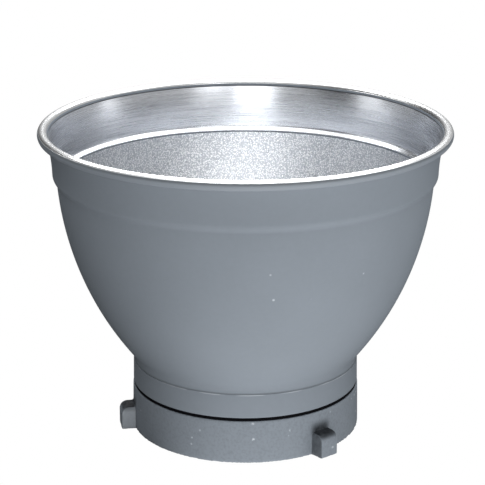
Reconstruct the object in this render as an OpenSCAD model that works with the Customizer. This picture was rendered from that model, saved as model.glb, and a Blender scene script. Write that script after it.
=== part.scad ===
// Studio flash reflector: a spun bowl with a rolled rim, clamped to a cast collar with three bayonet lugs.
// Millimetres. Z runs up the optical axis from the collar's bottom face to the mouth of the bowl.

/* [Collar] */
// Outer radius of the collar at its bottom face
collar_r = 49; // [46:0.5:53]
// Radius that the cast collar loses between its bottom and its top
collar_draft = 0.3; // [0:0.1:0.8]
// Height of the collar
collar_h = 18.4; // [16:0.2:24]
// Wall of the collar's skirt
skirt_t = 3.2; // [2.5:0.1:4]
// Radial width of the seating face on top of the collar
web_w = 8; // [7.6:0.1:10]
// Thickness of the web under that seating face
web_t = 3; // [2:0.2:5]
// Chamfer on the collar's edges
collar_edge = 0.4; // [0.2:0.1:0.8]

/* [Bayonet lugs] */
// Number of lugs round the collar
lug_count = 3; // [3:1:4]
// How far a lug stands out from the collar
lug_reach = 6; // [5.2:0.2:8]
// Width of a lug
lug_w = 9.3; // [7:0.1:12]
// Height of a lug, from the collar's bottom face
lug_h = 10; // [8:0.5:13]
// Round on the lug's upper outer corner
lug_top_r = 3.2; // [1:0.2:4.4]
// Round on the lug's upright outer edges
lug_side_r = 0.9; // [0.4:0.1:1.6]
// Direction of the first lug, in degrees from +X
lug_turn = 90; // [0:5:360]

/* [Gasket and clamp ring] */
// Thickness of the gasket between the collar and the bowl
gasket_t = 1.1; // [0.8:0.1:2]
// How far the gasket's edge lies inside the neck
gasket_recess = 0.9; // [0.4:0.1:1.5]
// How far the holes of the gasket, flange and clamp ring lie outside the collar's bore
lip_set_back = 0.5; // [0.2:0.1:1]
// Thickness of the clamp ring
clamp_t = 1.5; // [1.2:0.1:2.5]
// Chamfer on the clamp ring's upper edges
clamp_edge = 0.3; // [0.1:0.1:0.5]
// Room between the clamp ring and the bend of the bowl's flange
clamp_gap = 0.2; // [0.1:0.1:0.4]

/* [Bowl] */
// Thickness of the spun sheet
sheet_t = 1; // [0.8:0.1:1.2]
// How far the neck's foot lies inside the collar's top edge
neck_inset = 0.2; // [0:0.1:0.5]
// Radius that the neck loses between its foot and its crease
neck_taper = 0.15; // [0:0.05:0.4]
// Height of the neck, from the flange's underside to the crease
neck_h = 10.5; // [8:0.5:14]
// Outer radius of the bend between the flange and the neck
bend_r = 1.6; // [1.4:0.1:2]
// Step of the crease where the bowl leaves the neck
crease_step = 0.2; // [0:0.05:0.3]
// Radius of the hollow sweep between the neck and the bowl
sweep_r = 7.5; // [5:0.5:12]
// Radius of the bowl's side, seen in section
side_r = 135; // [115:5:170]
// Outer radius of the bowl just under its ledge
bowl_r = 79.1; // [75:0.5:84]
// Height of the bowl, from the crease to the foot of the ledge
bowl_h = 77.5; // [70:0.5:85]
// Width of the ledge that a honeycomb grid rests on
ledge_w = 1.85; // [1.4:0.05:2.4]
// Height that the ledge takes
ledge_h = 4.5; // [3.5:0.1:6]
// Height of the upper band, from the ledge to the centre of the rim bead
band_h = 18.1; // [15:0.5:22]
// How far the band flares, from the ledge to the centre of the rim bead
band_flare = 3.9; // [3.4:0.1:4.6]
// Radius of the band's flare, seen in section
flare_r = 74; // [60:2:90]
// Outside radius of the rolled rim bead
bead_r = 1.95; // [1.7:0.05:2.3]
// Turn of the bead at which its raw edge stops, below the band
bead_end = -125; // [-140:5:-90]

/* [Fasteners] */
// Number of clamp screws
screw_count = 6; // [3:3:6]
// Direction of the first screw, in degrees from +X
screw_turn = 0; // [0:5:60]
// Thread radius of a clamp screw
screw_r = 1.5; // [1.25:0.25:1.5]
// Length of a clamp screw under its head
screw_l = 10; // [9:0.5:10.5]
// Radius of a screw's pan head
head_r = 2.7; // [2.4:0.1:2.7]
// Height of a screw's pan head
head_h = 2; // [1.6:0.1:2.4]
// Width of the cross recess in a head
recess_w = 0.8; // [0.6:0.1:1]
// Span of the cross recess in a head
recess_span = 3; // [2.4:0.2:3.4]
// Depth of the cross recess in a head
recess_d = 1.1; // [0.8:0.1:1.3]
// Thickness of a spring washer
washer_t = 0.8; // [0.6:0.1:1]
// Opening between the ends of a spring washer, in degrees
washer_split = 16; // [10:2:24]
// Radial room round a screw in the clamp ring, flange, gasket and washer
hole_gap = 0.2; // [0.1:0.05:0.3]
// Radial room round a screw's thread in the collar
thread_gap = 0.05; // [0.02:0.01:0.1]
// Radius of the collar's screw bosses
boss_r = 2.8; // [2.5:0.1:2.9]
// Height of the collar's screw bosses under the web
boss_h = 3.6; // [2:0.2:6]

/* [Hidden] */
$fn = 96;

// Overshoot of a cut past the face it opens, and of a joined solid into its neighbour
past = 0.5;
// Steps in the large, middle and small arcs of the bowl's section
large_arc = 40;
middle_arc = 14;
small_arc = 8;
// Chamfer on the tip of a screw
screw_tip = 0.4;
// Round on the top of a screw's head, as a share of its height
head_round = 0.6;

// Levels, from the bottom up
gasket_z = collar_h;
flange_z = gasket_z + gasket_t;
clamp_z = flange_z + sheet_t;
washer_z = clamp_z + clamp_t;
head_z = washer_z + washer_t;
crease_z = flange_z + neck_h;
ledge_z = crease_z + bowl_h;
band_z = ledge_z + ledge_h;
bead_z = band_z + band_h;

// Radii, from the axis out
bore_r = collar_r - web_w;
lip_r = bore_r + lip_set_back;
skirt_r = collar_r - skirt_t;
collar_top_r = collar_r - collar_draft;
lug_r = collar_r + lug_reach;
neck_r = collar_top_r - neck_inset;
neck_top_r = neck_r - neck_taper;
gasket_r = neck_r - gasket_recess;
clamp_r = neck_r - bend_r - clamp_gap;
screw_ring_r = (lip_r + clamp_r) / 2;
screw_hole_r = screw_r + hole_gap;
thread_hole_r = screw_r + thread_gap;
band_r = bowl_r + ledge_w;
bead_ring_r = band_r + band_flare;

// Angle from one point to another, in degrees
function heading(p, q) = atan2(q.y - p.y, q.x - p.x);

// The point that lies rp from p and rq from q, on the left of the way from p to q
function meeting(p, rp, q, rq) =
    let (
        span = norm(q - p),
        along = (rp * rp - rq * rq + span * span) / (2 * span),
        aside = sqrt(rp * rp - along * along),
        u = (q - p) / span
    )
    p + along * u + aside * [-u.y, u.x];

// Points of an arc about c, from one angle to another
function arc(c, r, from, to, steps) =
    [for (i = [0:steps]) let (a = from + (to - from) * i / steps) c + r * [cos(a), sin(a)]];

function reversed(list) = [for (i = [len(list) - 1:-1:0]) list[i]];

// Centres of the arcs in the bowl's section
bend_c = [neck_r - bend_r, flange_z + bend_r];
sweep_c = [neck_top_r - crease_step + sweep_r, crease_z];
bowl_top = [bowl_r, ledge_z];
side_c = meeting(sweep_c, side_r + sweep_r, bowl_top, side_r);
side_low = heading(side_c, sweep_c);
side_high = heading(side_c, bowl_top);
ledge_turn = 2 * atan(ledge_w / ledge_h);
ledge_r = ledge_h / (2 * sin(ledge_turn));
ledge_foot_c = [bowl_r + ledge_r, ledge_z];
ledge_head_c = [band_r - ledge_r, band_z];
band_foot = [band_r, band_z];
bead_c = [bead_ring_r, bead_z];
flare_c = meeting(bead_c, flare_r + sheet_t - bead_r, band_foot, flare_r);
flare_low = heading(flare_c, band_foot);
flare_high = heading(flare_c, bead_c);

// One face of the spun sheet, at a depth d inside its painted face, from the flange up to the bead's raw edge
function sheet_face(d) = concat(
    [[lip_r, flange_z + d]],
    arc(bend_c, bend_r - d, -90, 0, small_arc),
    [[neck_top_r - d, crease_z]],
    arc(sweep_c, sweep_r + d, 180, 180 + side_low, small_arc),
    arc(side_c, side_r - d, side_low, side_high, large_arc),
    arc(ledge_foot_c, ledge_r + d, 180, 180 - ledge_turn, small_arc),
    arc(ledge_head_c, ledge_r - d, -ledge_turn, 0, small_arc),
    arc(flare_c, flare_r + d, flare_low, flare_high, middle_arc),
    arc(bead_c, bead_r - sheet_t + d, flare_high, bead_end, 2 * middle_arc)
);

// Places its children at each clamp screw
module at_screws() {
    for (i = [0:screw_count - 1])
        at_screw(i) children();
}

// Places its children at one clamp screw
module at_screw(i) {
    rotate([0, 0, screw_turn + 360 * i / screw_count])
        translate([screw_ring_r, 0, 0]) children();
}

// Half section of the collar's skirt and web
module collar_section() {
    web_z = collar_h - web_t;
    polygon([
        [skirt_r + collar_edge, 0],
        [collar_r - collar_edge, 0],
        [collar_r, collar_edge],
        [collar_top_r, collar_h - collar_edge],
        [collar_top_r - collar_edge, collar_h],
        [bore_r, collar_h],
        [bore_r, web_z],
        [skirt_r, web_z],
        [skirt_r, collar_edge]
    ]);
}

// Half section of a lug, with its round upper corner
module lug_section() {
    root = skirt_r + collar_edge;
    translate([root, 0]) square([lug_r - lug_top_r - root, lug_h]);
    translate([root, 0]) square([lug_r - root, lug_h - lug_top_r]);
    translate([lug_r - lug_top_r, lug_h - lug_top_r]) circle(lug_top_r);
}

// Plan of a lug, with round upright edges
module lug_plan() {
    translate([0, -lug_w / 2]) square([lug_r - lug_side_r, lug_w]);
    translate([0, lug_side_r - lug_w / 2]) square([lug_r + past, lug_w - 2 * lug_side_r]);
    for (side = [-1, 1])
        translate([lug_r - lug_side_r, side * (lug_w / 2 - lug_side_r)]) circle(lug_side_r);
}

module lug() {
    intersection() {
        rotate_extrude() lug_section();
        linear_extrude(height = lug_h) lug_plan();
    }
}

module mount_collar() {
    color([0.50, 0.53, 0.57])
    difference() {
        union() {
            rotate_extrude() collar_section();
            for (i = [0:lug_count - 1])
                rotate([0, 0, lug_turn + 360 * i / lug_count]) lug();
            at_screws()
                translate([0, 0, collar_h - web_t - boss_h])
                cylinder(r = boss_r, h = boss_h + web_t / 2);
        }
        at_screws() cylinder(r = thread_hole_r, h = collar_h + past);
    }
}

// A flat ring with a hole for each clamp screw
module drilled_ring(inner_r, outer_r, z, t, edge = 0) {
    difference() {
        rotate_extrude()
        polygon([
            [inner_r, z],
            [outer_r, z],
            [outer_r, z + t - edge],
            [outer_r - edge, z + t],
            [inner_r + edge, z + t],
            [inner_r, z + t - edge]
        ]);
        at_screws() translate([0, 0, z - past]) cylinder(r = screw_hole_r, h = t + 2 * past);
    }
}

module gasket() {
    color([0.04, 0.04, 0.05])
    drilled_ring(lip_r, gasket_r, gasket_z, gasket_t);
}

module clamp_ring() {
    color([0.72, 0.73, 0.75])
    drilled_ring(lip_r, clamp_r, clamp_z, clamp_t, clamp_edge);
}

module reflector_bowl() {
    color([0.55, 0.59, 0.63])
    difference() {
        rotate_extrude() polygon(concat(sheet_face(0), reversed(sheet_face(sheet_t))));
        at_screws() translate([0, 0, flange_z - past]) cylinder(r = screw_hole_r, h = sheet_t + 2 * past);
    }
}

module spring_washer(i) {
    color([0.66, 0.66, 0.64])
    at_screw(i)
    rotate([0, 0, 180 + washer_split / 2])
    rotate_extrude(angle = 360 - washer_split)
    translate([screw_hole_r, washer_z])
    square([head_r - screw_hole_r, washer_t]);
}

module clamp_screw(i) {
    round_h = head_h * head_round;
    tip_z = head_z - screw_l;
    color([0.70, 0.70, 0.68])
    at_screw(i)
    difference() {
        rotate_extrude()
        polygon(concat(
            [[0, tip_z], [screw_r - screw_tip, tip_z], [screw_r, tip_z + screw_tip]],
            [[screw_r, head_z], [head_r, head_z]],
            [for (j = [0:small_arc])
                let (a = 90 * j / small_arc)
                [head_r - round_h * (1 - cos(a)), head_z + head_h - round_h + round_h * sin(a)]],
            [[0, head_z + head_h]]
        ));
        for (turn = [0, 90])
            rotate([0, 0, turn + 45])
            translate([-recess_span / 2, -recess_w / 2, head_z + head_h - recess_d])
            cube([recess_span, recess_w, recess_d + past]);
    }
}

mount_collar();
gasket();
reflector_bowl();
clamp_ring();
for (i = [0:screw_count - 1]) {
    spring_washer(i);
    clamp_screw(i);
}
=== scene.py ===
import math

import bmesh
import bpy
from mathutils import Matrix, Vector


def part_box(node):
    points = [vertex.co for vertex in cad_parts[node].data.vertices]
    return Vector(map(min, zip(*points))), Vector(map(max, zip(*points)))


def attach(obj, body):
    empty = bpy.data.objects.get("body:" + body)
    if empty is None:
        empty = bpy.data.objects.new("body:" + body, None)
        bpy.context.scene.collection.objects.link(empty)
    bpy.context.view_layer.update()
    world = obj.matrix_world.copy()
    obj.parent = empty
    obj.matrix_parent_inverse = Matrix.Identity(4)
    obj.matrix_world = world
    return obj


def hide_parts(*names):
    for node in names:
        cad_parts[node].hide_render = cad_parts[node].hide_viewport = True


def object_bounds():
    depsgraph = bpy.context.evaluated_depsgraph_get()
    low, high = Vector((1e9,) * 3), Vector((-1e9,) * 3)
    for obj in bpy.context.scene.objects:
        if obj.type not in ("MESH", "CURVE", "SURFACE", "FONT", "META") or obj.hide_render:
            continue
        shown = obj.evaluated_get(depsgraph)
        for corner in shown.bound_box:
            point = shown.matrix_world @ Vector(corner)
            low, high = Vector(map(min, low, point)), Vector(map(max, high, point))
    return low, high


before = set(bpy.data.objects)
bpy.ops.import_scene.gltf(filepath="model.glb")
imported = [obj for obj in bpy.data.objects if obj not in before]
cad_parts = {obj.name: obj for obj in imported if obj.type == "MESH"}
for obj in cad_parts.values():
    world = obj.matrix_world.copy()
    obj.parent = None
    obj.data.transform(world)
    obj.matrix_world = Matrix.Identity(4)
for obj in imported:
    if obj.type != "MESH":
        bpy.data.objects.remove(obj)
cad_low, cad_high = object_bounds()
mm = 0.001


# ----------------------------------------------------------------------
# Mount collar
# An aluminium die casting that slips over the nose of the flash head and locks there on three lugs.
# It is drilled for six clamp screws, and sprayed grey over a skin that keeps the grain of the mould.

collar_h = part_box("mount_collar")[1].z
collar_r = 49 * mm
collar_draft = 0.3 * mm
collar_top_r = collar_r - collar_draft
skirt_t = 3.2 * mm
skirt_r = collar_r - skirt_t
web_w = 8 * mm
web_t = 3 * mm
bore_r = collar_r - web_w
lug_count = 3
lug_turn = math.radians(90)
lug_reach = 6 * mm
lug_r = collar_r + lug_reach
lug_root_r = skirt_r + 1 * mm
lug_w = 9.3 * mm
lug_h = 10 * mm
lug_top_r = 3.2 * mm
lug_side_r = 0.9 * mm
lug_top_steps = 8
lug_side_steps = 5
screw_count = 6
screw_ring_r = 44.1 * mm
boss_r = 2.8 * mm
boss_h = 3.6 * mm
boss_steps = 40
tapped_r = 1.55 * mm
tapped_steps = 32
collar_steps = 360
collar_voxel = 0.47 * mm
weld_gap = 0.001 * mm
hard_edge = math.radians(32)

grey_dark = (0.168, 0.190, 0.215)
grey_light = (0.202, 0.228, 0.258)
speck_white = (0.60, 0.64, 0.68)
pit_grey = (0.160, 0.181, 0.205)
# Pale grey painted on one side face of each lug, where the light falls: a painted highlight.
lug_light_grey = (0.44, 0.48, 0.52)
worn_metal = (0.55, 0.56, 0.57)
# Near black painted on the lug tops, on one side face and on the skirt just above each lug: painted shade.
lug_shade_black = (0.016, 0.018, 0.021)
paint_gloss = 0.06


def new_object(name, mesh):
    """An object of that mesh, at the origin of the scene."""
    made = bpy.data.objects.new(name, mesh)
    bpy.context.scene.collection.objects.link(made)
    return made


def mesh_of(body, name):
    """A plain mesh of a bmesh solid, with its doubles merged and its faces turned outwards."""
    bmesh.ops.remove_doubles(body, verts=body.verts, dist=weld_gap)
    bmesh.ops.recalc_face_normals(body, faces=body.faces)
    mesh = bpy.data.meshes.new(name)
    body.to_mesh(mesh)
    body.free()
    return mesh


def arc(centre, radius, start, stop, steps):
    """Points of an arc, from one angle to another in radians."""
    x, z = centre
    return [
        (x + radius * math.cos(turn), z + radius * math.sin(turn))
        for turn in (start + (stop - start) * i / steps for i in range(steps + 1))
    ]


def circle_loop(radius, z, steps, centre=(0, 0)):
    """A level circle of points."""
    x, y = centre
    return [
        (x + radius * math.cos(turn), y + radius * math.sin(turn), z)
        for turn in (math.tau * i / steps for i in range(steps))
    ]


def screw_centres():
    """The places of the clamp screws on their circle."""
    return [(x, y) for x, y, z in circle_loop(screw_ring_r, 0, screw_count)]


def add_loft(body, loops, closed=False):
    """Skins a row of loops of points into body, round in a ring if closed, or else with capped ends."""
    rings = [[body.verts.new(point) for point in loop] for loop in loops]
    size = len(rings[0])
    pairs = list(zip(rings, rings[1:]))
    if closed:
        pairs.append((rings[-1], rings[0]))
    for ring, following in pairs:
        for i in range(size):
            j = (i + 1) % size
            body.faces.new((ring[i], following[i], following[j], ring[j]))
    if not closed:
        body.faces.new(rings[0])
        body.faces.new(reversed(rings[-1]))


def add_turned(body, section, steps):
    """Turns a closed section of (radius, height) points round the Z axis into body."""
    add_loft(body, [
        [(r * math.cos(turn), r * math.sin(turn), z) for r, z in section]
        for turn in (math.tau * i / steps for i in range(steps))
    ], closed=True)


def lug_slice(side, inset):
    """The section of a lug at a distance to one side of its middle, drawn in by inset at its rounds."""
    tip = math.sqrt(lug_r ** 2 - side ** 2) - inset
    top = lug_h - inset
    bend = lug_top_r - inset
    corner = arc((tip - bend, top - bend), bend, 0, math.pi / 2, lug_top_steps)
    outline = [(lug_root_r, 0), (tip, 0), *corner, (lug_root_r, top)]
    return [(r, side, z) for r, z in outline]


def lug_slices():
    """The sections of a lug from side to side, with its upright and upper edges rounded."""
    half = lug_w / 2 - lug_side_r
    rounds = [math.pi / 2 * i / lug_side_steps for i in range(lug_side_steps + 1)]
    right = [(half + lug_side_r * math.sin(turn), lug_side_r * (1 - math.cos(turn))) for turn in rounds]
    left = [(-side, inset) for side, inset in reversed(right)]
    return [lug_slice(side, inset) for side, inset in left + right]


def cast_collar():
    """The rough casting: skirt, web, lugs and bosses as overlapping shells, for the remesh to join."""
    body = bmesh.new()
    web_low = collar_h - web_t
    add_turned(body, [
        (skirt_r, 0), (collar_r, 0), (collar_top_r, collar_h),
        (bore_r, collar_h), (bore_r, web_low), (skirt_r, web_low),
    ], steps=collar_steps)
    for i in range(lug_count):
        turn = Matrix.Rotation(lug_turn + math.tau * i / lug_count, 3, "Z")
        add_loft(body, [[turn @ Vector(point) for point in loop] for loop in lug_slices()])
    for centre in screw_centres():
        add_loft(body, [
            circle_loop(boss_r, z, boss_steps, centre) for z in (web_low - boss_h, collar_h - web_t / 2)
        ])
    return mesh_of(body, "mount_collar")


def drill_tool():
    """Six drills, for the tapped holes of the collar."""
    body = bmesh.new()
    for centre in screw_centres():
        add_loft(body, [circle_loop(tapped_r, z, tapped_steps, centre) for z in (0, collar_h + 1 * mm)])
    return new_object("drill_tool", mesh_of(body, "drill_tool"))


def modify(piece, name, kind, **settings):
    """Gives a piece a modifier with those settings."""
    modifier = piece.modifiers.new(name, kind)
    for setting, value in settings.items():
        setattr(modifier, setting, value)


def settle(piece):
    """Replaces a piece's live modifiers by the mesh that they make, smooth but for its hard edges."""
    evaluated = piece.evaluated_get(bpy.context.evaluated_depsgraph_get())
    mesh = bpy.data.meshes.new_from_object(evaluated)
    piece.modifiers.clear()
    piece.data = mesh
    mesh.shade_smooth()
    mesh.set_sharp_from_angle(angle=hard_edge)


def is_socket(value):
    """Whether a value is a node's socket rather than a number, colour or vector."""
    return isinstance(value, bpy.types.NodeSocket)


def add_node(tree, kind, inputs=None, **settings):
    """Adds a node, its inputs each a value or the socket that feeds it, and returns its outputs."""
    node = tree.nodes.new(kind)
    for name, value in settings.items():
        setattr(node, name, value)
    for name, value in (inputs or {}).items():
        if is_socket(value):
            tree.links.new(value, node.inputs[name])
        else:
            node.inputs[name].default_value = value
    return node.outputs


def calc(tree, operation, *values):
    """The output of a Math node."""
    return add_node(tree, "ShaderNodeMath", dict(enumerate(values)), operation=operation)[0]


def vector_calc(tree, operation, *values):
    """The outputs of a Vector Math node."""
    return add_node(tree, "ShaderNodeVectorMath", dict(enumerate(values)), operation=operation)


def product(tree, first, *others):
    """The product of two or more values."""
    for other in others:
        first = calc(tree, "MULTIPLY", first, other)
    return first


def clamped(tree, value):
    """A value held between 0 and 1."""
    return add_node(tree, "ShaderNodeClamp", {"Value": value})[0]


def fade(tree, value, low, high):
    """0 below low, 1 above high, and smooth between them; falling instead of rising if low > high."""
    return add_node(tree, "ShaderNodeMapRange", {
        "Value": value, "From Min": min(low, high), "From Max": max(low, high),
        "To Min": float(low > high), "To Max": float(low <= high),
    }, interpolation_type="SMOOTHSTEP")["Result"]


def blend(tree, factor, first, second):
    """first where factor is 0 and second where it is 1, both plain values."""
    inputs = {"Factor": factor, "A": first, "B": second}
    return add_node(tree, "ShaderNodeMix", inputs, clamp_factor=False)["Result"]


def mixed(tree, factor, first, second):
    """first where factor is 0 and second where it is 1, both colours."""
    first, second = [color if is_socket(color) else (*color, 1) for color in (first, second)]
    return add_node(tree, "ShaderNodeMix", {"Factor": factor, 6: first, 7: second}, data_type="RGBA")[2]


def noise(tree, position, size, detail=2.0, roughness=0.5):
    """Noise from 0 to 1 whose lumps are about size metres across."""
    return add_node(tree, "ShaderNodeTexNoise", {
        "Vector": position, "Scale": calc(tree, "DIVIDE", 1.0, size) if is_socket(size) else 1 / size,
        "Detail": detail, "Roughness": roughness,
    })["Fac"]


def around_axis(tree, position):
    """The X, Y and Z of a position, and its distance from the Z axis."""
    axes = add_node(tree, "ShaderNodeSeparateXYZ", {"Vector": position})
    flat = add_node(tree, "ShaderNodeCombineXYZ", {"X": axes["X"], "Y": axes["Y"]})[0]
    return axes, vector_calc(tree, "LENGTH", flat)["Value"]


def raised(tree, height, depth, under=None):
    """The normal of a surface that stands up to depth metres proud where height is 1."""
    inputs = {"Height": height, "Distance": depth, "Strength": 1.0}
    if under is not None:
        inputs["Normal"] = under
    return add_node(tree, "ShaderNodeBump", inputs)["Normal"]


def new_group(name, inputs, outputs, kind="ShaderNodeTree"):
    """A node group with those sockets, each given as name: kind; returns it and its inputs."""
    group = bpy.data.node_groups.new(name, kind)
    for side, sockets in (("INPUT", inputs), ("OUTPUT", outputs)):
        for socket, holds in sockets.items():
            group.interface.new_socket(name=socket, in_out=side, socket_type="NodeSocket" + holds)
    return group, add_node(group, "NodeGroupInput")


def spaced(inputs):
    """Inputs given as keywords, under the names that their sockets have."""
    return {name.replace("_", " "): value for name, value in inputs.items()}


def place_group(tree, group, **inputs):
    """The outputs of a shader node group, placed in tree with its own inputs."""
    return add_node(tree, "ShaderNodeGroup", spaced(inputs), node_tree=group)


def new_material(name):
    """An empty material; returns it, its tree and its object coordinates."""
    material = bpy.data.materials.new(name)
    material.use_nodes = True
    tree = material.node_tree
    tree.nodes.clear()
    return material, tree, add_node(tree, "ShaderNodeTexCoord")["Object"]


def finish_material(material, **inputs):
    """Ends a material with the Principled shader, its sockets given by name, and returns it."""
    tree = material.node_tree
    shader = add_node(tree, "ShaderNodeBsdfPrincipled", spaced(inputs))
    add_node(tree, "ShaderNodeOutputMaterial", {"Surface": shader[0]})
    return material


def build_specks():
    """Node group: small round specks, scattered a spacing apart, of which only a share is there."""
    group, given = new_group("Specks", {
        "Position": "Vector", "Spacing": "Float", "Radius": "Float", "Share": "Float",
    }, {"Mask": "Float"})
    smallest = 0.35
    soft_edge = 0.9
    cells = add_node(group, "ShaderNodeTexVoronoi", {
        "Vector": given["Position"], "Scale": calc(group, "DIVIDE", 1.0, given["Spacing"]),
    })
    chance = add_node(group, "ShaderNodeSeparateColor", {"Color": cells["Color"]})
    reach = calc(group, "DIVIDE", given["Radius"], given["Spacing"])
    size = product(group, reach, calc(group, "ADD", chance[1], smallest))
    inside = calc(group, "SUBTRACT", size, cells["Distance"])
    soft = calc(group, "DIVIDE", inside, product(group, reach, soft_edge))
    shown = calc(group, "LESS_THAN", chance[0], given["Share"])
    add_node(group, "NodeGroupOutput", {"Mask": clamped(group, product(group, soft, shown))})
    return group


def build_sprayed_paint():
    """Node group: the grey satin paint, with its soft unevenness, its orange peel and a few light specks."""
    group, given = new_group("Sprayed paint", {
        "Position": "Vector", "Peel Size": "Float", "Speck Share": "Float",
    }, {"Color": "Color", "Roughness": "Float", "Height": "Float"})
    position = given["Position"]
    patches = noise(group, position, 34 * mm, detail=3.0)
    mottle = noise(group, position, 2.2 * mm, detail=3.0, roughness=0.6)
    grey = mixed(group, blend(group, 0.4, patches, mottle), grey_dark, grey_light)
    dots = place_group(
        group, build_specks(),
        Position=position, Spacing=3.2 * mm, Radius=0.62 * mm, Share=given["Speck Share"],
    )["Mask"]
    add_node(group, "NodeGroupOutput", {
        "Color": mixed(group, product(group, dots, 0.65), grey, speck_white),
        "Roughness": blend(group, mottle, 0.50, 0.64),
        "Height": noise(group, position, given["Peel Size"], detail=1.0),
    })
    return group


def build_worn_edges():
    """Node group: where paint has been rubbed thin along outward edges, broken up by noise."""
    group, given = new_group("Worn edges", {
        "Pointiness": "Float", "Position": "Vector", "Amount": "Float",
    }, {"Mask": "Float"})
    edge = fade(group, given["Pointiness"], 0.53, 0.60)
    broken = fade(group, noise(group, given["Position"], 1.6 * mm, detail=4.0, roughness=0.65), 0.48, 0.66)
    add_node(group, "NodeGroupOutput", {"Mask": product(group, edge, broken, given["Amount"])})
    return group


def build_lug_painted_light():
    """Node group: painted light and shade on the lugs.

    The shade output is black painted shade on each lug's top, on one of its side faces and on the skirt just
    above it, where the bowl's overhang and the lug itself keep the light off. The light output is a pale
    painted highlight on the other side face, which faces the light.
    """
    group, given = new_group(
        "Lug light and shade", {"Position": "Vector", "Normal": "Vector"}, {"Painted Shade": "Float", "Painted Light": "Float"},
    )
    axes, radius = around_axis(group, given["Position"])
    facing = add_node(group, "ShaderNodeSeparateXYZ", {"Vector": given["Normal"]})
    from_lug = calc(group, "SUBTRACT", calc(group, "ARCTAN2", axes["Y"], axes["X"]), lug_turn)
    beside = calc(group, "COSINE", product(group, from_lug, float(lug_count)))
    shade_above_lug = product(
        group, fade(group, beside, 0.93, 0.995),
        fade(group, axes["Z"], lug_h + 5.5 * mm, lug_h + 0.5 * mm),
        fade(group, axes["Z"], lug_h - 2.5 * mm, lug_h - 0.5 * mm),
    )
    on_lug = fade(group, radius, collar_r - 0.2 * mm, collar_r + 0.4 * mm)
    on_top = product(group, fade(group, facing["Z"], 0.55, 0.95), on_lug)
    crosswise = calc(group, "SUBTRACT", product(group, axes["Y"], facing["X"]),
                     product(group, axes["X"], facing["Y"]))
    sideways = calc(group, "DIVIDE", crosswise, radius)
    shaded_side = product(group, fade(group, sideways, 0.35, 0.85), on_lug)
    lit_side = product(group, fade(group, sideways, -0.35, -0.85), on_lug)
    # Painted shade: the skirt just above each lug, the lug tops and one side face.
    upper = calc(group, "MAXIMUM", product(group, shade_above_lug, 0.95), on_top)
    painted_shade = calc(group, "MAXIMUM", upper, product(group, shaded_side, 0.7))
    uneven = blend(group, noise(group, given["Position"], 1.5 * mm, detail=3.0), 0.75, 1.15)
    add_node(group, "NodeGroupOutput", {
        "Painted Shade": clamped(group, product(group, painted_shade, uneven)),
        "Painted Light": clamped(group, product(group, lit_side, uneven)),
    })
    return group


def paint_cast_collar():
    """Material: grey paint over the grain of a casting, worn on the edges, with painted shade and a painted
    highlight on the lugs.
    """
    material, tree, position = new_material("Painted casting")
    paint = place_group(tree, sprayed_paint, Position=position, Peel_Size=0.9 * mm, Speck_Share=0.30)
    surface = add_node(tree, "ShaderNodeNewGeometry")
    worn = place_group(
        tree, build_worn_edges(), Position=position, Pointiness=surface["Pointiness"], Amount=0.35,
    )["Mask"]
    # Painted shade and a painted highlight on the lugs, for the shadow under the bowl and the light on one
    # side.
    lug_shading = place_group(tree, build_lug_painted_light(), Position=position, Normal=surface["Normal"])
    grain = noise(tree, position, 1.1 * mm, detail=3.0, roughness=0.6)
    swell = noise(tree, position, 6 * mm)
    skin = raised(tree, grain, 0.045 * mm, raised(tree, swell, 0.10 * mm))
    pitted = mixed(tree, fade(tree, grain, 0.60, 0.25), paint["Color"], pit_grey)
    # A painted highlight on one side face of each lug.
    lit_paint = mixed(tree, lug_shading["Painted Light"], pitted, lug_light_grey)
    handled = mixed(tree, worn, lit_paint, worn_metal)
    return finish_material(
        material,
        Base_Color=mixed(tree, lug_shading["Painted Shade"], handled, lug_shade_black),
        Roughness=paint["Roughness"],
        Metallic=product(tree, worn, 0.8),
        Specular_IOR_Level=paint_gloss,
        Normal=raised(tree, paint["Height"], 0.012 * mm, skin),
    )


sprayed_paint = build_sprayed_paint()
drills = drill_tool()
collar = new_object("collar_casting", cast_collar())
modify(collar, "Cast in one", "REMESH", mode="VOXEL", voxel_size=collar_voxel)
modify(collar, "Soft edges", "SMOOTH", factor=0.5, iterations=2)
modify(collar, "Tapped holes", "BOOLEAN", operation="DIFFERENCE", object=drills)
settle(collar)
bpy.data.objects.remove(drills)
collar.data.materials.clear()
collar.data.materials.append(paint_cast_collar())
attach(collar, "root")
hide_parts("mount_collar")


# ----------------------------------------------------------------------
# Gasket
# A flat ring punched from black rubber, clamped between the collar and the bowl so that neither
# rattles. Its edge lies a little inside the neck, which leaves the dark line round the foot.

gasket_low, gasket_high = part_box("gasket")
gasket_t = gasket_high.z - gasket_low.z
gasket_r = collar_top_r - 0.5 * mm
gasket_edge = 0.12 * mm
swell_h = 0.25 * mm
swell_foot_r = gasket_r - 0.55 * mm
swell_w = 0.35 * mm
lip_r = bore_r + 0.5 * mm
clear_r = 1.7 * mm
hole_steps = 40
edge_steps = 4
sliver = 0.002 * mm
turned_steps = 240
turning = {
    "Steps": turned_steps, "Hole Count": screw_count, "Hole Circle": screw_ring_r, "Hole Radius": clear_r,
}

rubber_black = (0.002, 0.002, 0.003)
rubber_dust = (0.03, 0.03, 0.03)


def ring_section(inner_r, outer_r, low_z, high_z, edge):
    """The section of a flat ring whose four edges are rounded by edge."""
    corners = [
        (inner_r + edge, low_z + edge, math.pi), (outer_r - edge, low_z + edge, 1.5 * math.pi),
        (outer_r - edge, high_z - edge, 2 * math.pi), (inner_r + edge, high_z - edge, 2.5 * math.pi),
    ]
    return [
        point for x, z, start in corners
        for point in arc((x, z), edge, start, start + math.pi / 2, edge_steps)
    ]


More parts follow.
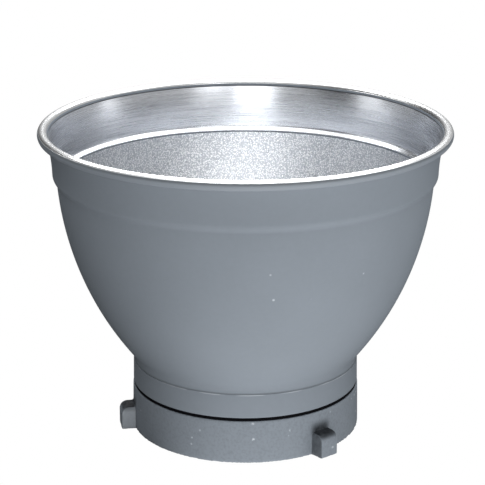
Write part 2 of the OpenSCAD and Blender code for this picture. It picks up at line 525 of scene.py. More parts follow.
def squeezed_ring():
    """The gasket's section: a flat ring whose outer edge swells up under the round of the neck."""
    section = []
    for r, z in ring_section(lip_r, gasket_r, gasket_low.z, gasket_high.z, gasket_edge):
        if z > gasket_high.z - 0.2 * mm:
            z += swell_h * min(1, max(0, r - swell_foot_r) / swell_w)
        section.append((r, z))
    return section


def section_object(name, points, marks=None):
    """An object of a closed section, standing in the XZ plane, with the indices of its marked points."""
    mesh = bpy.data.meshes.new(name)
    edges = [(i, (i + 1) % len(points)) for i in range(len(points))]
    mesh.from_pydata([(r, 0, z) for r, z in points], edges, [])
    for mark, members in (marks or {}).items():
        flags = mesh.attributes.new(mark, "BOOLEAN", "POINT")
        flags.data.foreach_set("value", [i in members for i in range(len(points))])
    return new_object(name, mesh)


def spread_round(tree, count, radius, **instances):
    """Real copies of an instance, spread on a circle round the Z axis."""
    circle = add_node(tree, "GeometryNodeMeshCircle", {"Vertices": count, "Radius": radius})
    spread = add_node(tree, "GeometryNodeInstanceOnPoints", {"Points": circle[0], **instances})
    return add_node(tree, "GeometryNodeRealizeInstances", {"Geometry": spread[0]})


def build_turning(name, finishes=None):
    """Geometry tree: turns a standing section round the Z axis and drills holes on a circle in it.

    The section runs round a thin spindle, because a curve's profile can't run round a point. finishes
    gives a material for each mark, a true-or-false attribute of the section's points.
    """
    tree, given = new_group(name, {
        "Geometry": "Geometry", "Steps": "Int", "Hole Count": "Int", "Hole Circle": "Float",
        "Hole Radius": "Float", "Hole Height": "Float", "Hole Length": "Float", "Material": "Material",
    }, {"Geometry": "Geometry"}, kind="GeometryNodeTree")
    spindle = 1 * mm
    laid = add_node(tree, "GeometryNodeTransform", {
        "Geometry": given["Geometry"], "Rotation": (math.pi / 2, 0, 0), "Translation": (-spindle, 0, 0),
    })
    section = add_node(tree, "GeometryNodeMeshToCurve", {"Mesh": laid[0]})
    path = add_node(tree, "GeometryNodeCurvePrimitiveCircle", {
        "Resolution": given["Steps"], "Radius": spindle,
    })
    turned = add_node(tree, "GeometryNodeCurveToMesh", {"Curve": path[0], "Profile Curve": section[0]})
    outward = add_node(tree, "GeometryNodeFlipFaces", {"Mesh": turned[0]})
    drill = add_node(tree, "GeometryNodeMeshCylinder", {
        "Vertices": hole_steps, "Radius": given["Hole Radius"], "Depth": given["Hole Length"],
    })
    lift = add_node(tree, "ShaderNodeCombineXYZ", {"Z": given["Hole Height"]})
    lifted = add_node(tree, "GeometryNodeTransform", {"Geometry": drill["Mesh"], "Translation": lift[0]})
    holes = spread_round(tree, given["Hole Count"], given["Hole Circle"], Instance=lifted[0])
    cut = add_node(tree, "GeometryNodeMeshBoolean", {
        0: outward[0], 1: holes[0],
    }, operation="DIFFERENCE", solver="MANIFOLD")
    welded = add_node(tree, "GeometryNodeMergeByDistance", {"Geometry": cut[0], "Distance": sliver})
    whole = add_node(tree, "GeometryNodeRealizeInstances", {"Geometry": welded[0]})
    last = add_node(tree, "GeometryNodeSetMaterial", {"Geometry": whole[0], "Material": given["Material"]})
    for mark, material in (finishes or {}).items():
        marked = add_node(tree, "GeometryNodeInputNamedAttribute", {"Name": mark}, data_type="BOOLEAN")
        last = add_node(tree, "GeometryNodeSetMaterial", {
            "Geometry": last[0], "Selection": marked[0], "Material": material,
        })
    add_node(tree, "NodeGroupOutput", {0: last[0]})
    return tree


def run_tree(piece, tree, values):
    """Gives a piece the mesh that a geometry tree makes of it, with the tree's named inputs set."""
    modifier = piece.modifiers.new(tree.name, "NODES")
    modifier.node_group = tree
    for socket in tree.interface.items_tree:
        if socket.in_out == "INPUT" and socket.name in values:
            modifier[socket.identifier] = values[socket.name]
    settle(piece)


def black_rubber():
    """Material: black rubber, dull and faintly dusty, with the fine grain of the sheet it was cut from."""
    material, tree, position = new_material("Black rubber")
    grain = noise(tree, position, 0.4 * mm, detail=3.0, roughness=0.6)
    dust = fade(tree, noise(tree, position, 5 * mm, detail=4.0, roughness=0.7), 0.55, 0.80)
    return finish_material(
        material,
        Base_Color=mixed(tree, product(tree, dust, 0.1), rubber_black, rubber_dust),
        Roughness=blend(tree, grain, 0.70, 0.95),
        Specular_IOR_Level=0.05,
        Normal=raised(tree, grain, 0.03 * mm),
    )


gasket = section_object("gasket_ring", squeezed_ring())
run_tree(gasket, build_turning("Punched gasket"), turning | {
    "Hole Height": gasket_high.z, "Hole Length": 4 * gasket_t, "Material": black_rubber(),
})
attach(gasket, "root")
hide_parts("gasket")


# ----------------------------------------------------------------------
# Reflector bowl
# One sheet of aluminium, spun over a former: flange, neck, bowl, ledge for a honeycomb grid, flared
# band and a rim rolled outwards. Bare inside, with a stippled bowl and a brushed band; grey outside.

def heading(start, stop):
    """The direction from one point of a section to another, in radians."""
    return math.atan2(stop[1] - start[1], stop[0] - start[0])


def meeting(p, p_reach, q, q_reach):
    """The point p_reach from p and q_reach from q, on the left of the way from p to q."""
    span = math.dist(p, q)
    along = (p_reach ** 2 - q_reach ** 2 + span ** 2) / (2 * span)
    aside = math.sqrt(p_reach ** 2 - along ** 2)
    x, z = (q[0] - p[0]) / span, (q[1] - p[1]) / span
    return p[0] + along * x - aside * z, p[1] + along * z + aside * x


bowl_low, bowl_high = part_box("reflector_bowl")
sheet_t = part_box("clamp_ring")[0].z - bowl_low.z
neck_r = collar_top_r - 0.2 * mm
neck_top_r = neck_r - 0.15 * mm
bend_r = 1.0 * mm
crease_z = bowl_low.z + 10.5 * mm
crease_step = 0.2 * mm
sweep_r = 7.5 * mm
side_r = 135 * mm
bowl_r = 79.1 * mm
ledge_z = crease_z + 78.6 * mm
ledge_w = 1.85 * mm
ledge_h = 4.5 * mm
fold_z = ledge_z + 0.75 * mm
fold_lean = math.radians(50)
fold_r = 0.5 * mm
fillet_r = 1.4 * mm
flare_r = 66 * mm
bead_r = 2.15 * mm
bead_end = math.radians(-125)
bend_steps = 8
sweep_steps = 12
side_steps = 48
ledge_steps = 10
fold_steps = 6
flare_steps = 20
bead_steps = 30
bowl_steps = 288
dimple_size = 0.66 * mm
wander_size = 1.2 * mm
wander_reach = 0.7 * mm

band_foot = (bowl_r + ledge_w, ledge_z + ledge_h)
bend_c = (neck_r - bend_r, bowl_low.z + bend_r)
sweep_c = (neck_top_r - crease_step + sweep_r, crease_z)
side_c = meeting(sweep_c, side_r + sweep_r, (bowl_r, ledge_z), side_r)
ledge_turn = 2 * math.atan(ledge_w / ledge_h)
ledge_r = ledge_h / (2 * math.sin(ledge_turn))
bead_c = (bowl_high.y - bead_r, bowl_high.z - bead_r)
flare_c = meeting(bead_c, flare_r + sheet_t - bead_r, band_foot, flare_r)
rim_foot_z = flare_c[1] + flare_r * math.sin(heading(flare_c, bead_c))
paint_edge_z = bead_c[1] + 1.25 * mm

# Bare metal along the neck's crease, part wear and part a painted highlight, then the painted shade just
# above the crease.
crease_wear_and_glint = (0.66, 0.69, 0.73)
crease_shade = (0.15, 0.17, 0.19)
# Painted shade: the darker paint in a band just under the paint's edge on the bead.
bead_edge_shade = (0.10, 0.115, 0.13)
rim_metal = (0.88, 0.89, 0.90)
# Near black for the painted shade where the rim meets the band.
rim_shade_black = (0.03, 0.03, 0.035)
band_dark = (0.64, 0.66, 0.70)
band_light = (0.86, 0.88, 0.92)
stipple_light = (0.97, 0.97, 0.975)
stipple_dark = (0.54, 0.56, 0.59)
# Near black for the painted shade line under the ledge's fold.
fold_shade_black = (0.05, 0.05, 0.055)
neck_dark = (0.72, 0.73, 0.75)
neck_light = (0.86, 0.87, 0.88)


def soft_ledge():
    """The ledge on the painted face: two equal bends."""
    return [
        ("band", arc((bowl_r + ledge_r, ledge_z), ledge_r, math.pi, math.pi - ledge_turn, ledge_steps)),
        ("band", arc((band_foot[0] - ledge_r, band_foot[1]), ledge_r, -ledge_turn, 0, ledge_steps)),
    ]


def crisp_ledge():
    """The ledge on the bare face, which lay on the former: a sharp edge, a slope and a fillet."""
    foot_r = bowl_r - sheet_t
    slope = ledge_w - (fold_r + fillet_r) * (1 - math.cos(fold_lean))
    fillet_z = fold_z + (fold_r + fillet_r) * math.sin(fold_lean) + slope / math.tan(fold_lean)
    return [
        ("bowl", [(foot_r, fold_z)]),
        ("band", arc((foot_r + fold_r, fold_z), fold_r, math.pi, math.pi - fold_lean, fold_steps)),
        ("band", arc((foot_r + ledge_w - fillet_r, fillet_z), fillet_r, -fold_lean, 0, ledge_steps)),
    ]


def sheet_face(depth):
    """One face of the sheet, depth inside its painted face, as (finish, points) runs from flange to rim."""
    side_low, side_high = heading(side_c, sweep_c), heading(side_c, (bowl_r, ledge_z))
    flare_low, flare_high = heading(flare_c, band_foot), heading(flare_c, bead_c)
    return [
        ("neck", [(lip_r, bowl_low.z + depth)]),
        ("neck", arc(bend_c, bend_r - depth, -math.pi / 2, 0, bend_steps)),
        ("neck", [(neck_top_r - depth, crease_z)]),
        ("bowl", arc(sweep_c, sweep_r + depth, math.pi, math.pi + side_low, sweep_steps)),
        ("bowl", arc(side_c, side_r - depth, side_low, side_high, side_steps)),
        *(crisp_ledge() if depth else soft_ledge()),
        ("band", arc(flare_c, flare_r + depth, flare_low, flare_high, flare_steps)),
        ("rim", arc(bead_c, bead_r - sheet_t + depth, flare_high, bead_end, bead_steps)),
    ]


def bowl_section():
    """The sheet's closed section, and for each finish the points that its faces lie between."""
    points = [point for _, run in sheet_face(0) for point in run]
    marks = {}
    inner = [(finish, point) for finish, run in sheet_face(sheet_t) for point in run]
    previous = None
    for finish, point in reversed(inner):
        marks.setdefault(finish, set()).add(len(points))
        if previous not in (None, finish):
            marks[previous].add(len(points))
        previous = finish
        points.append(point)
    return points, marks


def build_spun_lines():
    """Node group: fine streaks that run round the Z axis, as a spinning tool or a brush leaves them.

    Breaks says how often the streaks break off on their way round.
    """
    group, given = new_group("Spun lines", {
        "Position": "Vector", "Line Width": "Float", "Breaks": "Float",
    }, {"Lines": "Float"})
    axes, radius = around_axis(group, given["Position"])
    along_x, along_y = [
        product(group, calc(group, "DIVIDE", axes[axis], radius), given["Breaks"]) for axis in ("X", "Y")
    ]
    across = calc(group, "DIVIDE", calc(group, "ADD", radius, axes["Z"]), given["Line Width"])
    stretched = add_node(group, "ShaderNodeCombineXYZ", {"X": along_x, "Y": along_y, "Z": across})
    lines = noise(group, stretched[0], 1.0, detail=3.0, roughness=0.65)
    add_node(group, "NodeGroupOutput", {"Lines": lines})
    return group


def build_crease_line_mask():
    """Node group: a thin uneven ring at a height along a crease of the sheet, the mask for the painted shade
    lines and the bare line at the creases.
    """
    group, given = new_group("Crease line mask", {
        "Position": "Vector", "Height": "Float", "Reach Up": "Float", "Reach Down": "Float",
    }, {"Mask": "Float"})
    z = add_node(group, "ShaderNodeSeparateXYZ", {"Vector": given["Position"]})["Z"]
    above = calc(group, "SUBTRACT", z, given["Height"])
    up = calc(group, "SUBTRACT", 1.0, calc(group, "DIVIDE", above, given["Reach Up"]))
    down = calc(group, "ADD", 1.0, calc(group, "DIVIDE", above, given["Reach Down"]))
    line = clamped(group, calc(group, "MINIMUM", up, down))
    depth = blend(group, noise(group, given["Position"], 2.5 * mm, detail=3.0), 0.75, 1.25)
    mask = clamped(group, product(group, fade(group, line, 0.0, 0.45), depth))
    add_node(group, "NodeGroupOutput", {"Mask": mask})
    return group


spun_lines = build_spun_lines()
crease_line_mask = build_crease_line_mask()


def lines_round(tree, position, width, breaks):
    """Streaks round the Z axis, each about width across."""
    return place_group(tree, spun_lines, Position=position, Line_Width=width, Breaks=breaks)["Lines"]


def ring_at(tree, position, height, up, down):
    """The mask of a thin ring at a height, which reaches up and down from there."""
    reach = {"Reach_Up": up, "Reach_Down": down}
    return place_group(tree, crease_line_mask, Position=position, Height=height, **reach)["Mask"]


def rim_foot_shade(tree, position):
    """The mask of the painted shade below the rim, at the top of the band."""
    return ring_at(tree, position, rim_foot_z - 0.3 * mm, up=0.5 * mm, down=0.8 * mm)


def brushed_gloss(tree):
    """What the shader needs for metal cut or brushed round the Z axis, so that a light stretches upright."""
    tangent = add_node(tree, "ShaderNodeTangent", direction_type="RADIAL", axis="Z")[0]
    return {"Metallic": 1.0, "Anisotropic": 0.6, "Anisotropic_Rotation": 0.25, "Tangent": tangent}


def paint_bowl():
    """Material: satin grey paint on spun sheet, with a thin bare line along the crease at the top of the
    neck, part wear and part a painted highlight for the glint of the crease edge, and a line of painted shade
    just above it.
    """
    material, tree, position = new_material("Painted sheet")
    paint = place_group(tree, sprayed_paint, Position=position, Peel_Size=1.3 * mm, Speck_Share=0.012)
    lines = lines_round(tree, position, width=0.9 * mm, breaks=1.5)
    # A bare line along the crease, part wear and part a painted highlight, with a line of painted shade just
    # above it.
    rubbed_and_glint = ring_at(tree, position, crease_z - 0.12 * mm, up=0.15 * mm, down=0.35 * mm)
    broken = fade(tree, noise(tree, position, 9 * mm, detail=3.0), 0.38, 0.62)
    bare_and_glint = product(tree, rubbed_and_glint, broken, 0.28)
    shade = ring_at(tree, position, crease_z + 0.35 * mm, up=0.5 * mm, down=0.3 * mm)
    painted = mixed(tree, shade, paint["Color"], crease_shade)
    return finish_material(
        material,
        Base_Color=mixed(tree, bare_and_glint, painted, crease_wear_and_glint),
        Roughness=calc(tree, "SUBTRACT", paint["Roughness"], product(tree, bare_and_glint, 0.2)),
        Metallic=bare_and_glint,
        Specular_IOR_Level=paint_gloss,
        Normal=raised(tree, paint["Height"], 0.008 * mm, raised(tree, lines, 0.012 * mm)),
    )


def bare_rim():
    """Material: the rolled rim, polished by handling, with paint up to a soft edge on its outer side, a band
    of painted shade just under that edge, and painted shade at its foot inside.
    """
    material, tree, position = new_material("Rolled rim")
    paint = place_group(tree, sprayed_paint, Position=position, Peel_Size=1.3 * mm, Speck_Share=0.02)
    lines = lines_round(tree, position, width=0.25 * mm, breaks=4.0)
    axes, radius = around_axis(tree, position)
    ragged = product(tree, noise(tree, position, 3 * mm, detail=4.0), 0.25 * mm)
    height = calc(tree, "ADD", axes["Z"], ragged)
    below = fade(tree, height, paint_edge_z + 0.22 * mm, paint_edge_z)
    painted = product(tree, below, calc(tree, "GREATER_THAN", radius, bead_c[0]))
    shine = calc(tree, "SUBTRACT", 1.0, painted)
    # Painted shade in a band just under the paint's edge.
    bead_shade_band = fade(tree, height, paint_edge_z - 1.3 * mm, paint_edge_z - 0.3 * mm)
    inside = calc(tree, "LESS_THAN", radius, bead_c[0] - sheet_t)
    # Painted shade at the rim's foot inside.
    metal = mixed(tree, product(tree, rim_foot_shade(tree, position), inside), rim_metal, rim_shade_black)
    return finish_material(
        material,
        Base_Color=mixed(tree, painted, metal, mixed(tree, bead_shade_band, paint["Color"], bead_edge_shade)),
        Roughness=blend(tree, painted, blend(tree, lines, 0.16, 0.32), paint["Roughness"]),
        Metallic=shine,
        Normal=raised(tree, lines, 0.004 * mm, raised(tree, painted, 0.04 * mm)),
    )


def brushed_band():
    """Material: bare aluminium brushed round the axis, so that a light stretches into an upright streak, with
    painted shade just under the rim.
    """
    material, tree, position = new_material("Brushed band")
    fine = lines_round(tree, position, width=0.30 * mm, breaks=3.0)
    broad = lines_round(tree, position, width=1.2 * mm, breaks=1.2)
    streaks = blend(tree, 0.35, fine, broad)
    metal = mixed(tree, fade(tree, streaks, 0.38, 0.62), band_dark, band_light)
    # Painted shade at the top of the band, just under the rim.
    return finish_material(
        material,
        Base_Color=mixed(tree, rim_foot_shade(tree, position), metal, rim_shade_black),
        Roughness=blend(tree, streaks, 0.16, 0.38),
        Normal=raised(tree, fine, 0.006 * mm, raised(tree, broad, 0.012 * mm)),
        **brushed_gloss(tree),
    )


def stippled_bowl():
    """Material: bare aluminium stippled all over with small dimples, to spread the light of the flash, with a
    line of painted shade under the ledge's fold.
    """
    material, tree, position = new_material("Stippled bowl")
    wander = add_node(tree, "ShaderNodeTexNoise", {"Vector": position, "Scale": 1 / wander_size})
    loose = vector_calc(tree, "MULTIPLY_ADD", wander["Color"], (wander_reach,) * 3, position)[0]
    dimples = add_node(tree, "ShaderNodeTexVoronoi", {
        "Vector": loose, "Scale": 1 / dimple_size, "Smoothness": 0.25,
    }, feature="SMOOTH_F1")["Distance"]
    pits = fade(tree, dimples, 0.30, 0.62)
    grain = noise(tree, position, 0.7 * mm, detail=3.0, roughness=0.65)
    tone = fade(tree, blend(tree, 0.5, pits, grain), 0.2, 0.7)
    # Painted shade in a thin line under the fold of the ledge.
    fold_shade = ring_at(tree, position, fold_z - 0.1 * mm, up=0.3 * mm, down=0.45 * mm)
    return finish_material(
        material,
        Base_Color=mixed(tree, fold_shade, mixed(tree, tone, stipple_light, stipple_dark), fold_shade_black),
        Roughness=blend(tree, grain, 0.22, 0.36),
        Metallic=1.0,
        Normal=raised(tree, grain, 0.04 * mm, raised(tree, dimples, 0.12 * mm)),
    )


def turned_neck():
    """Material: bare aluminium inside the neck and on the flange, with the lines of the spinning tool."""
    material, tree, position = new_material("Spun neck")
    lines = lines_round(tree, position, width=0.5 * mm, breaks=2.0)
    return finish_material(
        material,
        Base_Color=mixed(tree, lines, neck_dark, neck_light),
        Roughness=blend(tree, lines, 0.26, 0.42),
        Metallic=1.0,
        Normal=raised(tree, lines, 0.02 * mm),
    )


bowl_tree = build_turning("Spun bowl", {
    "neck": turned_neck(), "bowl": stippled_bowl(), "band": brushed_band(), "rim": bare_rim(),
})
bowl = section_object("spun_bowl", *bowl_section())
run_tree(bowl, bowl_tree, turning | {
    "Steps": bowl_steps, "Hole Height": bowl_low.z, "Hole Length": 4 * sheet_t, "Material": paint_bowl(),
})
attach(bowl, "root")
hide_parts("reflector_bowl")


# ----------------------------------------------------------------------
# Clamp ring
# A flat ring turned from aluminium plate. It lies on the bowl's flange inside the neck and spreads the
# pull of the six screws, so that the thin sheet is held all round.

clamp_low, clamp_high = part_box("clamp_ring")
clamp_t = clamp_high.z - clamp_low.z
clamp_edge = 0.3 * mm

plate_dark = (0.66, 0.67, 0.69)
plate_light = (0.80, 0.81, 0.82)


def turned_plate():
    """Material: plate aluminium with the close rings that the lathe tool leaves."""
    material, tree, position = new_material("Turned plate")
    lines = lines_round(tree, position, width=0.16 * mm, breaks=1.2)
    stain = noise(tree, position, 7 * mm, detail=4.0, roughness=0.6)
    return finish_material(
        material,
        Base_Color=mixed(tree, stain, plate_dark, plate_light),
        Roughness=blend(tree, lines, 0.22, 0.44),
        Normal=raised(tree, lines, 0.012 * mm),
        **brushed_gloss(tree),
    )


clamp_ring = section_object("turned_clamp_ring", ring_section(
    lip_r, clamp_high.x, clamp_low.z, clamp_high.z, clamp_edge,
))
run_tree(clamp_ring, build_turning("Turned clamp ring"), turning | {
    "Hole Height": clamp_low.z, "Hole Length": 4 * clamp_t, "Material": turned_plate(),
})
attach(clamp_ring, "root")
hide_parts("clamp_ring")


# ----------------------------------------------------------------------
# Spring washers
# Six split washers of square spring wire, coiled with their ends apart, one under each screw head.
# They are blackened by the hardening and then plated, so they stay darker than the screws.

washer_low, washer_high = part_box("spring_washer_1")
washer_r = 2.7 * mm
washer_edge = 0.08 * mm
washer_gap = math.radians(16)
washer_steps = 40
wire = 0.62 * mm

spring_dark = (0.34, 0.34, 0.33)
spring_light = (0.50, 0.50, 0.48)


def coiled_washer():
    """A split washer: one turn of square wire whose ends stand apart in height."""
    rise = washer_high.z - washer_low.z - wire
    loops = []
    for i in range(washer_steps + 1):
        turn = washer_gap / 2 + (math.tau - washer_gap) * i / washer_steps
        z = washer_low.z + rise * i / washer_steps
        corners = ((clear_r, z), (washer_r, z), (washer_r, z + wire), (clear_r, z + wire))
        loops.append([(r * math.cos(turn), r * math.sin(turn), height) for r, height in corners])
    body = bmesh.new()
    add_loft(body, loops)
    return mesh_of(body, "spring_washers")


def build_screw_circle():
    """Geometry tree: sets a fastener at each screw hole, each one turned as it happened to stop."""
    tree, given = new_group("Set at the screw holes", {
        "Geometry": "Geometry", "Count": "Int", "Circle": "Float", "Seed": "Int", "Material": "Material",
    }, {"Geometry": "Geometry"}, kind="GeometryNodeTree")
    turn = add_node(tree, "FunctionNodeRandomValue", {3: math.tau, "Seed": given["Seed"]}, data_type="FLOAT")
    spin = add_node(tree, "ShaderNodeCombineXYZ", {"Z": turn[1]})
    whole = spread_round(
        tree, given["Count"], given["Circle"], Instance=given["Geometry"], Rotation=spin[0],
    )
    covered = add_node(tree, "GeometryNodeSetMaterial", {"Geometry": whole[0], "Material": given["Material"]})
    add_node(tree, "NodeGroupOutput", {0: covered[0]})
    return tree


def plated_steel(name, dark, light, rough):
    """Material: zinc-plated steel, between a dark and a light tone, slightly clouded."""
    material, tree, position = new_material(name)
    cloud = noise(tree, position, 1.8 * mm, detail=4.0, roughness=0.6)
    return finish_material(
        material,
        Base_Color=mixed(tree, cloud, dark, light),
        Roughness=blend(tree, cloud, rough, rough + 0.15),
        Metallic=1.0,
        Normal=raised(tree, noise(tree, position, 0.25 * mm), 0.006 * mm),
    )


screw_circle = build_screw_circle()
washers = new_object("split_washers", coiled_washer())
modify(washers, "Eased edges", "BEVEL", width=washer_edge, segments=2, limit_method="ANGLE")
run_tree(washers, screw_circle, {
    "Count": screw_count, "Circle": screw_ring_r, "Seed": 4,
    "Material": plated_steel("Spring steel", spring_dark, spring_light, rough=0.30),
})
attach(washers, "root")
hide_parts(*[f"spring_washer_{i + 1}" for i in range(screw_count)])


# ----------------------------------------------------------------------
# Clamp screws
# Six pan head machine screws of zinc-plated steel, driven by a cross recess. They pass the washer, the
# clamp ring, the flange and the gasket, and their threads bite in the bosses of the collar.

screw_low, screw_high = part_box("clamp_screw_1")
screw_head_z = washer_high.z
screw_r = 1.5 * mm
screw_tip = 0.4 * mm
screw_steps = 32
thread_depth = 0.27 * mm
thread_pitch = 0.5 * mm
pitch_levels = 5
plain_levels = 4
head_r = 2.7 * mm
head_round = 1.2 * mm
head_steps = 8
recess_w = 0.8 * mm
recess_span = 3 * mm
recess_d = 1.1 * mm
recess_foot = (0.35, 0.7)
recess_mouth = (1.2, 1.05)

zinc_dark = (0.56, 0.56, 0.54)
zinc_light = (0.72, 0.72, 0.71)


def thread_loop(z):
    """One level of the shank: a circle that the thread's groove cuts into, further round at each level."""
    ends = min(1, (z - screw_low.z) / (2 * thread_pitch), (screw_head_z - z) / thread_pitch)
    points = []
    for i in range(screw_steps):
        turn = math.tau * i / screw_steps
        phase = (z / thread_pitch - i / screw_steps) % 1
        groove = thread_depth * abs(2 * phase - 1) * max(0, ends)
        points.append(((screw_r - groove) * math.cos(turn), (screw_r - groove) * math.sin(turn), z))
    return points


def machine_screw():
    """A pan head screw standing on the Z axis, with a blunt tip, before its recess is pressed."""
    levels = round((screw_head_z - screw_low.z) / (thread_pitch / pitch_levels))
    loops = [circle_loop(screw_r - screw_tip, screw_low.z, screw_steps)]
    for i in range(plain_levels, levels):
        loops.append(thread_loop(screw_low.z + i * thread_pitch / pitch_levels))
    loops += [circle_loop(r, screw_head_z, screw_steps) for r in (screw_r, head_r)]
    head = arc((head_r - head_round, screw_high.z - head_round), head_round, 0, math.pi / 2, head_steps)
    loops += [circle_loop(r, z, screw_steps) for r, z in head]
    body = bmesh.new()
    add_loft(body, loops)
    return mesh_of(body, "clamp_screws")


def recess_blade(turn):
    """One blade of the punch that presses the cross recess, narrower at its foot than at its mouth."""
    spin = Matrix.Rotation(turn, 3, "Z")
    loops = []
    for depth, (span, width) in ((recess_d, recess_foot), (-recess_d / 2, recess_mouth)):
        x, y, z = recess_span / 2 * span, recess_w / 2 * width, screw_high.z - depth
        loops.append([spin @ Vector(corner) for corner in ((x, y, z), (-x, y, z), (-x, -y, z), (x, -y, z))])
    body = bmesh.new()
    add_loft(body, loops)
    return new_object("recess_blade", mesh_of(body, "recess_blade"))


screws = new_object("machine_screws", machine_screw())
blades = [recess_blade(turn) for turn in (0, math.pi / 2)]
for blade in blades:
    modify(screws, "Cross recess", "BOOLEAN", operation="DIFFERENCE", object=blade)
run_tree(screws, screw_circle, {
    "Count": screw_count, "Circle": screw_ring_r, "Seed": 11,
    "Material": plated_steel("Zinc plate", zinc_dark, zinc_light, rough=0.22),
})
for blade in blades:
    bpy.data.objects.remove(blade)
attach(screws, "root")
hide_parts(*[f"clamp_screw_{i + 1}" for i in range(screw_count)])


# ----------------------------------------------------------------------
# Studio
# A white table in a white room that is brightest overhead. A large softbox over the back lights the
# inside of the bowl; the front is lit from the right, and small softboxes shape the sides.

camera_azimuth = math.radians(20)
camera_distance = 771 * mm
camera_height = 328.75 * mm
camera_pitch = 0.3118
camera_pan = 0.0016
camera_lens = 141.14
camera_sensor = 36
table_r = 3.0
white = (1, 1, 1, 1)
room_top = 3.0

camera = new_object("camera", bpy.data.cameras.new("camera"))
camera.data.sensor_width = camera_sensor
camera.data.lens = camera_lens
camera.location = (
    camera_distance * math.sin(camera_azimuth),
    -camera_distance * math.cos(camera_azimuth),
    camera_height,
)
camera.rotation_euler = (math.pi / 2 - camera_pitch, 0, camera_azimuth + camera_pan)
bpy.context.scene.camera = camera


def way_to(azimuth, elevation=0.0):
    """The direction at an azimuth from the front, to the right, and an elevation, both in degrees."""
    turn, rise = math.radians(azimuth), math.radians(elevation)
    return Vector((math.sin(turn) * math.cos(rise), -math.cos(turn) * math.cos(rise), math.sin(rise)))


def toward(tree, place, azimuth):
    """How far a place or a direction lies towards an azimuth: 1 towards it, 0 beside it, -1 opposite."""
    level = vector_calc(tree, "NORMALIZE", vector_calc(tree, "MULTIPLY", place, (1, 1, 0))[0])[0]
    return vector_calc(tree, "DOT_PRODUCT", level, way_to(azimuth))["Value"]


def white_to_camera(tree, kind, strength):
    """A shader that lights the object with that strength, and is plain white to the camera itself."""
    lit = add_node(tree, kind, {"Color": white, "Strength": strength})[0]
    plain = add_node(tree, kind, {"Color": white, "Strength": 1.0})[0]
    seen = add_node(tree, "ShaderNodeLightPath")["Is Camera Ray"]
    return add_node(tree, "ShaderNodeMixShader", {0: seen, 1: lit, 2: plain})[0]


def light_table():
    """Material: a white table top, bright towards the key light and less so close to the object's right."""
    material, tree, position = new_material("White table")
    key = fade(tree, toward(tree, position, azimuth=41), 0.2, 1.0)
    near = fade(tree, vector_calc(tree, "LENGTH", position)["Value"], 160 * mm, 60 * mm)
    shade = product(tree, near, fade(tree, toward(tree, position, azimuth=108), 0.3, 0.9))
    lamp = product(tree, key, calc(tree, "MULTIPLY_ADD", shade, -0.5, 1.0))
    glow = calc(tree, "MULTIPLY_ADD", lamp, 2.05, 0.06)
    lit = white_to_camera(tree, "ShaderNodeEmission", glow)
    add_node(tree, "ShaderNodeOutputMaterial", {"Surface": lit})
    return material


def table_top():
    """A round table top."""
    body = bmesh.new()
    bmesh.ops.create_circle(body, cap_ends=True, segments=96, radius=table_r)
    mesh = bpy.data.meshes.new("table_top")
    body.to_mesh(mesh)
    body.free()
    return mesh


table = new_object("table_top", table_top())
table.data.materials.append(light_table())

world = bpy.data.worlds.new("studio")
bpy.context.scene.world = world
world.use_nodes = True
sky = world.node_tree
sky.nodes.clear()
direction = add_node(sky, "ShaderNodeTexCoord")["Generated"]
rise = add_node(sky, "ShaderNodeSeparateXYZ", {"Vector": direction})["Z"]


def brightness_by_height(stops):
    """The brightness of the room by elevation, from (degrees, brightness) stops, at most room_top."""
    ramp = add_node(sky, "ShaderNodeValToRGB", {"Fac": calc(sky, "MULTIPLY_ADD", rise, 0.5, 0.5)})["Color"]
    elements = ramp.node.color_ramp.elements
    while len(elements) < len(stops):
        elements.new(0.5)
    for element, (elevation, brightness) in zip(elements, stops):
        element.position = math.sin(math.radians(elevation)) * 0.5 + 0.5
        element.color = (*[brightness / room_top] * 3, 1)
    return product(sky, ramp, room_top)


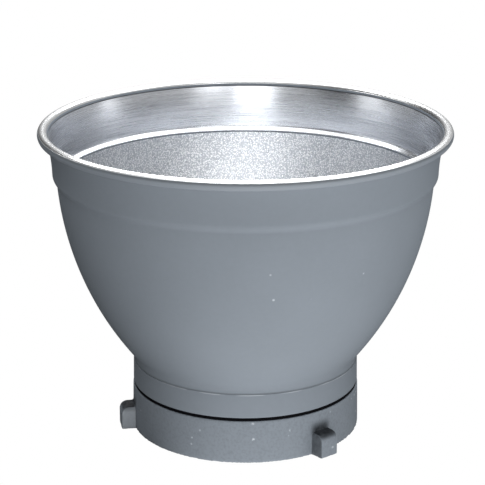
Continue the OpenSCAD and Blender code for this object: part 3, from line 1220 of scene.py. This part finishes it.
front_room = brightness_by_height([(2, 0.1), (14, 0.50), (26, 0.55), (34, 0.4), (56, 0.7), (70, 2.7)])
rear_room = brightness_by_height([(-8, 0.3), (6, 0.4), (24, 0.5), (40, 1.0), (55, 2.2), (68, 2.7)])
behind = fade(sky, toward(sky, direction, azimuth=157), 0.2, 0.7)
low_left = product(sky, fade(sky, toward(sky, direction, azimuth=-90), 0.1, 0.7), fade(sky, rise, 0.8, 0.6))
front_half = product(sky, front_room, calc(sky, "MULTIPLY_ADD", low_left, -0.85, 1.0))
room = white_to_camera(sky, "ShaderNodeBackground", blend(sky, behind, front_half, rear_room))
add_node(sky, "ShaderNodeOutputWorld", {"Surface": room})


def softbox(name, azimuth, elevation, size, brightness, distance=1.4):
    """A soft area light that faces the bowl, as bright as brightness times white."""
    light = bpy.data.lights.new(name, "AREA")
    light.shape = "RECTANGLE"
    light.size, light.size_y = size
    light.energy = brightness * math.pi * size[0] * size[1]
    lamp = new_object(name, light)
    away = way_to(azimuth, elevation)
    lamp.location = away * distance + Vector((0, 0, cad_high.z / 2))
    lamp.rotation_euler = away.to_track_quat("Z", "Y").to_euler()
    lamp.visible_camera = False


softbox("front_softbox", azimuth=14, elevation=14, size=(0.56, 0.62), brightness=2.1)
softbox("front_fill", azimuth=34, elevation=10, size=(1.2, 0.5), brightness=0.35, distance=1.5)
softbox("key_softbox", azimuth=42, elevation=26, size=(0.4, 0.4), brightness=1.9)
softbox("back_softbox", azimuth=187, elevation=46, size=(1.1, 0.7), brightness=6.0)
softbox("high_softbox", azimuth=115, elevation=50, size=(0.7, 0.6), brightness=1.2)
softbox("rear_left_softbox", azimuth=-125, elevation=50, size=(1.1, 0.5), brightness=4.0)
softbox("left_strip", azimuth=-64, elevation=13, size=(0.42, 0.5), brightness=1.15)
softbox("left_fill", azimuth=-88, elevation=7, size=(0.95, 0.26), brightness=0.5, distance=1.5)
softbox("left_shelf", azimuth=-76, elevation=26, size=(1.4, 0.09), brightness=2.8, distance=1.5)
softbox("right_strip", azimuth=113, elevation=10, size=(0.28, 0.35), brightness=1.05)

view = bpy.context.scene.view_settings
view.view_transform = "Standard"
view.look = "None"
